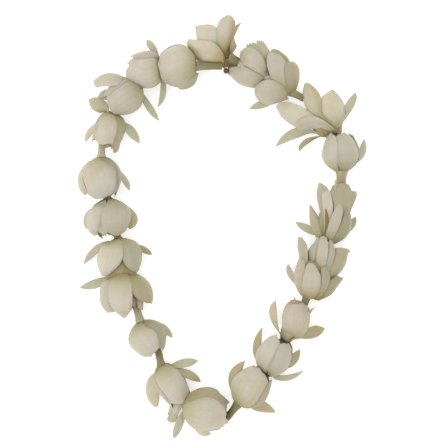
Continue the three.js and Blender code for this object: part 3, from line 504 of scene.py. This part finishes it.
def outer_lobe(own, spec, source):
    """The surface of one spreading outer lobe, which turns its face up towards the tip."""
    via, tip = in_place(spec["via"]), in_place(spec["tip"])
    foot = own["base"] + own["axis"] * own["length"] * LOBE_FOOT
    out = via - foot
    out = unit(out - own["axis"] * np.dot(out, own["axis"]))
    root = foot + out * (FOOT_RADIUS + 0.4)
    handle = 2 * via - 0.5 * (root + tip)
    half = spec["width"] * spec.get("spread", 1) / 2
    broad = spec["width"] >= BROAD
    widest = 0.6 if broad else 0.5
    blunt = spec.get("blunt", 0.16 if broad else 0.05)
    rounding = spec.get("rounding", 0.55 if broad or blunt > 0.3 else 0.85)
    lift = spec.get("lift", 0)
    rooted = spec.get("rooted", 0.55 if broad else 0.5)
    phase = source.uniform(0, 2 * math.pi)
    twist = source.uniform(-0.2, 0.2) * (0.4 if broad else 1)
    fold = source.uniform(0.02, 0.07)

    def surface(t, v):
        t = t * (1 - 0.07 * blunt * np.abs(v) ** 2.5 * t ** 4)
        t3 = t[..., None]
        centre = (1 - t3) ** 2 * root + 2 * t3 * (1 - t3) * handle + t3 ** 2 * tip
        tangent = unit(2 * (1 - t3) * (handle - root) + 2 * t3 * (tip - handle))
        face = out * (1 - t3) + np.array([0, 0, 1.0]) * t3
        face = unit(face - tangent * np.sum(face * tangent, axis=-1, keepdims=True))
        across = np.cross(tangent, face)
        cos, sin = np.cos(twist * t3), np.sin(twist * t3)
        across, face = across * cos + face * sin, face * cos - across * sin
        rising = np.clip(t / widest, 0, 1)
        past = np.clip((t - widest) / (1 - widest), 0, 1)
        outline = np.where(t < widest, rooted + (1 - rooted) * np.sin(math.pi / 2 * rising), 1)
        outline *= np.maximum(blunt, np.clip(1 - past ** 2.1, 0, 1) ** rounding)
        wide = half * outline
        raised = -LOBE_CUP * wide * v ** 2 + fold * half * np.abs(v) + lift * smooth(t / 0.3)
        raised += 0.07 * half * np.sin(9 * t + phase + np.sign(v)) * np.abs(v) ** 3 * smooth(t / 0.4)
        return centre + across * (wide * v)[..., None] + face * raised[..., None]

    return surface


def edge_curve(points):
    """A smooth curve through places told in tenths, as a function of the share of its length."""
    points = np.array([in_place(np.array(point) / 10) for point in points])
    steps = np.linalg.norm(np.diff(points, axis=0), axis=1)
    knots = np.concatenate([[0], np.cumsum(steps)]) / steps.sum()
    slopes = np.gradient(points, knots, axis=0)

    def curve(t):
        i = np.clip(np.searchsorted(knots, t, side="right") - 1, 0, len(knots) - 2)
        span = (knots[i + 1] - knots[i])[..., None]
        s = (t - knots[i])[..., None] / span
        ends = (1 + 2 * s) * (1 - s) ** 2 * points[i] + s * s * (3 - 2 * s) * points[i + 1]
        return ends + span * (s * (1 - s) ** 2 * slopes[i] + s * s * (s - 1) * slopes[i + 1])

    return curve


def open_petal(spec, source):
    """The surface of a petal that is drawn by its two edges: it arches from the one to the other."""
    left, right = edge_curve(spec["left"]), edge_curve(spec["right"])
    arch = spec.get("arch", OPEN_ARCH)
    bulge = spec.get("bulge", 0)
    ragged = spec.get("ragged", RAGGED)
    phase = source.uniform(0, 2 * math.pi)
    most, end = np.array(0.6), np.array(1.0)
    chord = right(most) - left(most)
    forward = unit(right(end) + left(end) - right(most) - left(most))
    normal = np.cross(chord, forward)
    normal = unit(unit(normal) * math.copysign(1, normal[2]) + np.array([0, 0, 0.6]))

    def surface(t, v):
        a, b = left(t), right(t)
        span = np.linalg.norm(b - a, axis=-1)
        rise = arch * span * (1 - v ** 2)
        rise += 0.018 * span * np.sin(7 * v + 4 * t + phase) * (1 - v ** 2) * smooth(t / 0.4)
        push = bulge * (1 - v ** 2) * smooth((t - 0.6) / 0.4)
        push -= ragged * (0.5 + 0.5 * np.sin(9 * v + phase)) * smooth((t - 0.85) / 0.15)
        point = a + (b - a) * ((1 + v) / 2)[..., None]
        return point + normal * rise[..., None] + forward * push[..., None]

    return surface


class Shells:
    """Thin closed shells gathered in one mesh, with each point's place on its petal and the petal's tint."""

    def __init__(self):
        self.points, self.faces, self.places, self.tints = [], [], [], []
        self.count = 0

    def add(self, surface, mesh, petal):
        """Adds a petal's surface as a shell, with so many rows along it and columns across it."""
        rows, columns = mesh
        green, pink, brown, bright = TINTS.get(petal["tint"], petal["tint"])
        along = 1 - (1 - np.linspace(0, 1, rows + 1)) ** 1.5
        across = np.linspace(-1, 1, columns + 1)
        across = np.sin(across * math.pi / 2) * 0.6 + across * 0.4
        t, v = np.meshgrid(along, across, indexing="ij")
        points = surface(t, v)
        near = 1e-3
        lengthwise = surface(np.clip(t + near, 0, 1), v) - surface(np.clip(t - near, 0, 1), v)
        crosswise = surface(t, v + near) - surface(t, v - near)
        normal = np.cross(lengthwise, crosswise)
        normal = normal / np.maximum(np.linalg.norm(normal, axis=-1, keepdims=True), 1e-9)
        thin = 0.5 * PETAL_THICKNESS * (1 - EDGE_THINNING * np.abs(v) ** 4)
        out = normal * (thin * (1 - TIP_THINNING * smooth((t - 0.8) / 0.2)))[..., None]
        self.points.append(np.concatenate([(points + out).reshape(-1, 3), (points - out).reshape(-1, 3)]))
        size = (rows + 1) * (columns + 1)
        grid = self.count + np.arange(size).reshape(rows + 1, columns + 1)
        top = np.stack([grid[:-1, :-1], grid[1:, :-1], grid[1:, 1:], grid[:-1, 1:]], axis=-1).reshape(-1, 4)
        rim = np.concatenate([grid[:, 0], grid[-1, 1:], grid[-2::-1, -1], grid[0, -2::-1]])
        sides = np.stack([rim[:-1], size + rim[:-1], size + rim[1:], rim[1:]], axis=-1)
        self.faces += np.concatenate([top, size + top[:, ::-1], sides]).tolist()
        # the third value is the tint's brightness, partly painted light and shade
        place = np.stack([t, v, np.full_like(t, bright)], axis=-1).reshape(-1, 3)
        self.places += [place, place]
        # Browner towards the foot and down one side: partly brown stains, partly painted shade where petals
        # meet and on sides turned from the light
        stain, streak = petal.get("stain", STAIN), petal.get("streak", 0)
        brown = brown + stain * smooth(1 - t / STAIN_REACH) ** 1.5
        brown += abs(streak) * smooth(v * math.copysign(1.2, streak))
        tint = np.stack([np.full_like(t, green), np.full_like(t, pink), brown], axis=-1).reshape(-1, 3)
        self.tints += [tint, tint]
        self.count += 2 * size

    def mesh_object(self, name, material):
        points = np.concatenate(self.points)
        low = points[:, 2] < PRESS
        points[low, 2] = PRESS * np.exp((points[low, 2] - PRESS) / PRESS)
        return mesh_object(name, points, self.faces, material, self.places, self.tints)


def placed(name, data):
    piece = bpy.data.objects.new(name, data)
    bpy.context.scene.collection.objects.link(piece)
    return piece


def mesh_object(name, points, faces, material, places=(), tints=()):
    """A mesh in the scene, with the places and tints of its points where the material reads them."""
    mesh = bpy.data.meshes.new(name)
    mesh.from_pydata((np.asarray(points) * MM).tolist(), [], faces)
    for key, rows in (("petal_place", places), ("petal_tint", tints)):
        if len(rows):
            attribute = mesh.attributes.new(key, "FLOAT_VECTOR", "POINT")
            attribute.data.foreach_set("vector", np.concatenate(rows).astype(np.float32).ravel())
    mesh.polygons.foreach_set("use_smooth", np.ones(len(mesh.polygons), bool))
    mesh.materials.append(material)
    mesh.update()
    return placed(name, mesh)


class Nodes:
    """A short way to write a material's nodes."""

    def __init__(self, name):
        self.material = bpy.data.materials.new(name)
        self.material.use_nodes = True
        self.tree = self.material.node_tree
        self.tree.nodes.clear()
        self.shader = self.node("BsdfPrincipled", {})
        self.node("OutputMaterial", {"Surface": self.shader.outputs["BSDF"]})

    def link(self, source, target):
        if isinstance(source, bpy.types.NodeSocket):
            self.tree.links.new(source, target)
        else:
            target.default_value = source

    def node(self, kind, inputs, **settings):
        node = self.tree.nodes.new("ShaderNode" + kind)
        for key, value in settings.items():
            setattr(node, key, value)
        for key, value in inputs.items():
            self.link(value, node.inputs[key])
        return node

    def math(self, operation, first, second=0.0, clamp=False):
        return self.node("Math", {0: first, 1: second}, operation=operation, use_clamp=clamp).outputs[0]

    def waves(self, lane, count, sharpness):
        """Narrow ridges across a petal: a high power of a cosine."""
        wave = self.math("ABSOLUTE", self.math("COSINE", self.math("MULTIPLY", lane, count)))
        return self.math("POWER", wave, sharpness)

    def mix(self, share, first, second, blend="MIX"):
        colours = {0: share, 6: first, 7: second}
        return self.node("Mix", colours, data_type="RGBA", blend_type=blend).outputs[2]

    def tinted(self, colour, tints):
        """The colour mixed towards one target after another, each by a share of it times a strength."""
        for target, share, strength in tints:
            colour = self.mix(self.math("MULTIPLY", share, strength, clamp=True), colour, linear(target))
        return colour

    def ramp(self, share, stops):
        node = self.node("ValToRGB", {0: share})
        points = node.color_ramp.elements
        while len(points) < len(stops):
            points.new(0.5)
        for point, (position, colour) in zip(points, stops):
            point.position = position
            point.color = linear(colour) if isinstance(colour, str) else [colour] * 3 + [1.0]
        return node.outputs[0]

    def noise(self, scale, detail=3.0, roughness=0.5, distortion=0.0):
        place = self.node("TexCoord", {}).outputs["Object"]
        values = dict(Vector=place, Scale=scale, Detail=detail, Roughness=roughness, Distortion=distortion)
        return self.node("TexNoise", values).outputs["Fac"]

    def attribute(self, name):
        vector = self.node("Attribute", {}, attribute_name=name).outputs["Vector"]
        return self.node("SeparateXYZ", {0: vector}).outputs

    def bump(self, height, distance, strength):
        return self.node("Bump", dict(Height=height, Distance=distance, Strength=strength)).outputs[0]

    def set(self, **sockets):
        for name, value in sockets.items():
            self.link(value, self.shader.inputs[name.replace("_", " ")])
        return self.material


def petal_material():
    """Waxy ivory petal with lengthwise veins, a yellow-green foot, fine mottling and browned edges, with each
    petal's brown and brightness partly painted light and shade.
    """
    n = Nodes("petal")
    along, across, bright = n.attribute("petal_place")
    green, pink, brown = n.attribute("petal_tint")
    mottle = n.noise(260, 4, 0.55)
    wander = n.math("MULTIPLY", n.math("SUBTRACT", n.noise(90, 2), 0.5), 0.5)
    lane = n.math("ADD", across, wander)
    fading = n.math("SUBTRACT", 1.0, n.math("MULTIPLY", along, 0.55))
    veins = n.math("MULTIPLY", n.waves(lane, 13.0, 9.0), fading)
    fine = n.waves(lane, 41.0, 5.0)
    ivory = [(0.0, "#9c976e"), (0.14, "#aba788"), (0.32, "#b8b2a0"), (0.62, "#c0baad"), (1.0, "#b9b3a6")]
    colour = n.tinted(n.ramp(along, ivory), [("#96926e", veins, 0.14), ("#a29d7c", fine, 0.05)])
    shade = n.ramp(mottle, [(0.3, 0.92), (0.7, 1.04)])
    colour = n.mix(0.5, colour, shade, "MULTIPLY")
    colour = n.tinted(colour, [
        ("#bfa58f", n.ramp(n.noise(75, 2, 0.6), [(0.5, 0.0), (0.68, 1.0)]), 0.3),
        ("#a8a06a", n.ramp(n.noise(105, 3, 0.6, 0.4), [(0.48, 0.0), (0.7, 1.0)]), 0.3),
        ("#a8aa93", green, 0.7),
        ("#bda792", pink, 0.45),
        ("#9a884c", n.math("MINIMUM", brown, 1.0), 0.7),
        ("#6a5630", n.math("SUBTRACT", brown, 1.0), 0.9),
    ])
    # Painted highlight and shade: each petal is darkened by its tint's brightness, which follows how it faces
    # the light as well as its own tone
    colour = n.mix(1.0, colour, n.mix(bright, linear("#e0e0e0"), linear("#ffffff")), "MULTIPLY")
    sides = n.math("POWER", n.math("ABSOLUTE", across), 10.0)
    rim = n.math("MAXIMUM", sides, n.math("POWER", along, 24.0))
    worn = n.ramp(n.noise(420, 3, 0.6), [(0.42, 0.0), (0.62, 1.0)])
    height = n.math("ADD", n.math("MULTIPLY", veins, -0.55), n.math("MULTIPLY", fine, -0.15))
    height = n.math("ADD", height, n.math("MULTIPLY", n.noise(1500, 4, 0.6), 0.28))
    return n.set(
        Base_Color=n.tinted(colour, [("#8f7f5c", n.math("MULTIPLY", rim, worn), 0.34)]),
        Roughness=n.math("ADD", n.math("MULTIPLY", mottle, 0.16), 0.42),
        Normal=n.bump(height, 0.00012, 0.7),
        Subsurface_Weight=0.35,
        Subsurface_Radius=(1.8, 1.5, 1.0),
        Subsurface_Scale=MM,
        Specular_IOR_Level=0.3,
    )


def tube_material():
    """Olive green tube skin, paler towards the corolla, with faint ribs and small brown specks."""
    n = Nodes("tube")
    along, across, _ = n.attribute("petal_place")
    brown, dark, pale = n.attribute("petal_tint")
    colour = n.ramp(along, [(0.0, "#77714a"), (0.4, "#827c54"), (0.7, "#918b67"), (1.0, "#a49e80")])
    colour = n.mix(0.8, colour, n.ramp(n.noise(330, 4, 0.6), [(0.35, 0.85), (0.65, 1.08)]), "MULTIPLY")
    colour = n.tinted(colour, [
        ("#8a7455", brown, 0.8),
        ("#686130", dark, 0.8),
        ("#b3ad8d", pale, 0.9),
        ("#6b5635", n.ramp(n.noise(1400, 2), [(0.66, 0.0), (0.72, 1.0)]), 0.4),
    ])
    height = n.math("MULTIPLY", n.waves(across, 15.7, 3.0), 0.5)
    height = n.math("ADD", height, n.math("MULTIPLY", n.noise(1800, 3, 0.6), 0.4))
    return n.set(
        Base_Color=colour,
        Roughness=0.5,
        Normal=n.bump(height, 0.00012, 0.8),
        Subsurface_Weight=0.2,
        Subsurface_Radius=(1.2, 1.2, 0.5),
        Subsurface_Scale=MM,
    )


def thread_material():
    """Dark brown cotton with paler fibres."""
    n = Nodes("thread")
    fibres = n.noise(5200, 4, 0.7, 0.6)
    colour = n.ramp(fibres, [(0.3, "#4b3a26"), (0.55, "#6f5a40"), (0.75, "#8f7a5d")])
    return n.set(Base_Color=colour, Roughness=0.9, Normal=n.bump(fibres, 0.00008, 0.8))


def glowing_floor_material():
    """Plain near-white paper that glows faintly: painted light, lighting the lei from below and paling its
    shadows.
    """
    n = Nodes("floor")
    return n.set(
        Base_Color=n.ramp(n.noise(700, 3), [(0.3, "#d9d9d8"), (0.7, "#e0e0e0")]),
        Roughness=0.9,
        Specular_IOR_Level=0.1,
        Emission_Color=(1.0, 1.0, 1.0, 1.0),
        Emission_Strength=0.5,
    )


def form(spans, source):
    """A petal's form, drawn from its spans in their order."""
    return {key: source.uniform(*span) for key, span in spans.items()}


def corolla(number, flower, own, material):
    """All petals of one flower: four whorls of the globe, the spreading outer lobes and the open petals."""
    source = random.Random(number)
    shells = Shells()
    opening = flower.get("open", MOUTH_RADIUS) + flower.get("gape", GAPE)
    plain = dict(foot=0, scale=1, step=1, lift=0, hand=1, swirl=SWIRL, opening=opening, stain=OUTER_STAIN)
    for spec in flower["petals"]:
        petal = plain | form(OUTER_SPANS, source) | spec
        shells.add(globe_petal(flower, own, petal, source), OUTER_MESH, petal)
    for whorl, mesh in zip(WHORLS, INNER_MESHES):
        mouth = max(opening * whorl["mouth"], min(TIGHT, opening * whorl["least"]))
        for k in range(3):
            angle = flower["turn"] + whorl["turn"] + k * 120 + source.uniform(-WOBBLE, WOBBLE)
            petal = plain | whorl | form(INNER_SPANS, source)
            tint = tuple(petal[key] for key in ("green", "pink", "brown", "bright"))
            petal |= dict(angle=angle, opening=mouth, step=INNER_STEP, stain=STAIN)
            petal["tint"] = flower.get("heart", tint)
            petal["tip"] *= whorl["tip"] * flower.get("reach", 1)
            shells.add(globe_petal(flower, own, petal, source), mesh, petal)
    for spec in flower.get("lobes", []):
        mesh = BROAD_MESH if spec["width"] >= BROAD else NARROW_MESH
        shells.add(outer_lobe(own, spec, source), mesh, spec)
    for spec in OPEN_PETALS:
        if spec["number"] == number:
            shells.add(open_petal(spec, source), OPEN_MESH, spec)
    piece = shells.mesh_object(f"flower_{number:02d}_corolla", material)
    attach(piece, "root")
    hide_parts(f"flower_{number:02d}_petals")


def faces_between(rings, sides):
    """The faces between each ring of points and the next, by the rings' numbers."""
    faces = []
    for low, high in zip(rings, rings[1:]):
        for k in range(sides):
            a, b = low * sides, high * sides
            beside = (k + 1) % sides
            faces.append((a + k, b + k, b + beside, a + beside))
    return faces


def turned(name, line, outside, inside, tint, material):
    """A hollow body turned round a straight line: out along the outside and back through the bore."""
    start, end = line
    axis = unit(end - start)
    side = unit(np.cross([0, 0, 1], axis))
    up = np.cross(axis, side)
    length = np.linalg.norm(end - start)
    rings = outside + inside[::-1]
    points, places = [], []
    for share, radius in rings:
        for k in range(TUBE_SIDES):
            angle = 2 * math.pi * k / TUBE_SIDES
            out = up * math.cos(angle) + side * math.sin(angle)
            swell = radius * (1 + RIB_HEIGHT * math.cos(TUBE_RIBS * angle))
            points.append(start + axis * length * share + out * swell)
            places.append((share, k / TUBE_SIDES, 0))
    faces = faces_between(list(range(len(rings))) + [0], TUBE_SIDES)
    tints = np.tile(np.array(tint, float), (len(points), 1))
    return mesh_object(name, points, faces, material, [places], [tints])


def tube(number, flower, own, material):
    """The corolla's tube: slightly uneven, wider where it runs into the petals, and hollow for the thread."""
    radius = flower.get("tube", TUBE_RADIUS)
    outside = [(0, radius - 0.12), (0.02, radius)]
    for share in np.linspace(0.08, 0.96, 11):
        uneven = 0.05 * math.sin(share * 9 + number)
        flare = TUBE_FLARE * smooth((share - 0.6) / 0.4)
        outside.append((share, radius + TUBE_GROWTH * share + uneven + flare))
    outside.append((1.0, radius + TUBE_GROWTH + TUBE_FLARE))
    inside = [(0, BORE_RADIUS), (1.0, BORE_RADIUS)]
    line = own["end"], own["base"] + own["axis"]
    skin = flower.get("skin", (0, 0, 0))
    piece = turned(f"flower_{number:02d}_tube_skin", line, outside, inside, skin, material)
    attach(piece, "root")
    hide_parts(f"flower_{number:02d}_tube")


def centripetal(points, steps):
    """Points along the smooth curve through the given points."""
    points = [np.array(p, float) for p in points]
    ends = [2 * points[0] - points[1]] + points + [2 * points[-1] - points[-2]]
    line = []
    for i in range(len(points) - 1):
        four = ends[i : i + 4]
        gaps = [max(np.linalg.norm(b - a) ** 0.5, 1e-4) for a, b in zip(four, four[1:])]
        knots = [0, gaps[0], gaps[0] + gaps[1], gaps[0] + gaps[1] + gaps[2]]
        for t in np.linspace(knots[1], knots[2], steps, endpoint=False):

            def blend(a, b, low, high):
                low, high = knots[low], knots[high]
                return (high - t) / (high - low) * a + (t - low) / (high - low) * b

            first, second, third = [blend(four[k], four[k + 1], k, k + 1) for k in range(3)]
            line.append(blend(blend(first, second, 0, 2), blend(second, third, 1, 3), 1, 2))
    line.append(points[-1])
    return np.array(line)


def strand(line, phase):
    """One ply of a twisted cord, as points and faces round an offset line."""
    sides = PLY_SIDES
    points = []
    travelled = 0.0
    side = np.array([0.0, 0.0, 1.0])
    for i, centre in enumerate(line):
        tangent = unit(line[min(i + 1, len(line) - 1)] - line[max(i - 1, 0)])
        side = unit(side - tangent * np.dot(side, tangent)) if abs(np.dot(side, tangent)) < 0.99 else side
        other = np.cross(tangent, side)
        if i:
            travelled += np.linalg.norm(centre - line[i - 1])
        turn = phase + PLY_TWIST * travelled
        middle = centre + (side * math.cos(turn) + other * math.sin(turn)) * (THREAD_RADIUS * PLY_OFFSET)
        for k in range(sides):
            angle = 2 * math.pi * k / sides
            round_about = side * math.cos(angle) + other * math.sin(angle)
            points.append(middle + round_about * (THREAD_RADIUS * PLY_RADIUS))
    end = tuple(reversed(range(len(points) - sides, len(points))))
    return points, faces_between(range(len(line)), sides) + [tuple(range(sides)), end]


def twisted(lines, name, material):
    """A cord of two plies along each of several lines, in one mesh."""
    points, faces = [], []
    for line in lines:
        for phase in (0, math.pi):
            more, skin = strand(line, phase)
            faces += [tuple(len(points) + corner for corner in face) for face in skin]
            points += more
    return mesh_object(name, points, faces, material)


def thread(frames, material):
    """The thread's round from the knot through every flower, the knot's turns and its two cut tails."""
    knot = in_place(KNOT_PLACE)
    first = frames[0]
    route = [knot]
    for own in frames[1:]:
        route += [own["end"], own["base"]]
    route += [first["end"], first["end"] + (first["base"] - first["end"]) * THREAD_EXIT, knot]
    lines = [centripetal(route, CURVE_STEPS)]
    for tail in THREAD_TAILS:
        lines.append(centripetal([knot] + [in_place(place) for place in tail], TAIL_STEPS))
    turns = []
    for share in np.linspace(0, 1, KNOT_POINTS):
        angle = 2 * KNOT_TURNS * math.pi * share
        radius = KNOT_RADIUS * (0.85 + 0.2 * math.sin(5 * angle))
        turns.append([radius * math.cos(angle), KNOT_WIDTH * (share - 0.5), radius * math.sin(angle)])
    lines += [knot + np.array(turns)[:, order] for order in ([0, 1, 2], [1, 0, 2], [0, 2, 1])]
    piece = twisted(lines, "thread_twisted", material)
    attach(piece, "root")
    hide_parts("thread")


def camera():
    height = PHOTO_SIZE * PIXEL * LENS / SENSOR + PHOTO_HEIGHT
    data = bpy.data.cameras.new("camera")
    data.lens = LENS
    data.sensor_width = SENSOR
    data.clip_end = 10
    piece = placed("camera", data)
    piece.location = in_place((*PHOTO_MIDDLE, height)) * MM
    bpy.context.scene.camera = piece


def area_light(name, place, size, power, colour):
    data = bpy.data.lights.new(name, "AREA")
    data.size = size
    data.energy = power
    data.color = colour
    piece = placed(name, data)
    piece.location = place
    piece.rotation_euler = (-Vector(place)).to_track_quat("-Z", "Y").to_euler()


def studio():
    """Soft even light from all over, a little stronger from the left, over a near-white floor that glows
    faintly as painted light.
    """
    world = bpy.data.worlds.new("studio")
    world.use_nodes = True
    background = world.node_tree.nodes["Background"]
    background.inputs["Color"].default_value = (1.0, 0.995, 0.985, 1)
    background.inputs["Strength"].default_value = SKY
    bpy.context.scene.world = world
    area_light("key", **KEY_LIGHT)
    area_light("fill", **FILL_LIGHT)
    corners = [(x * FLOOR_REACH, y * FLOOR_REACH, 0) for x, y in ((-1, -1), (1, -1), (1, 1), (-1, 1))]
    floor = mesh_object("floor", corners, [(0, 1, 2, 3)], glowing_floor_material())
    bpy.context.scene.view_settings.view_transform = "Standard"


camera()
studio()
petal_skin, tube_skin, cotton = petal_material(), tube_material(), thread_material()
frames = [frame_of(spec) for spec in FLOWERS]
for number, (spec, own) in enumerate(zip(FLOWERS, frames), start=1):
    corolla(number, spec, own, petal_skin)
    tube(number, spec, own, tube_skin)
thread(frames, cotton)
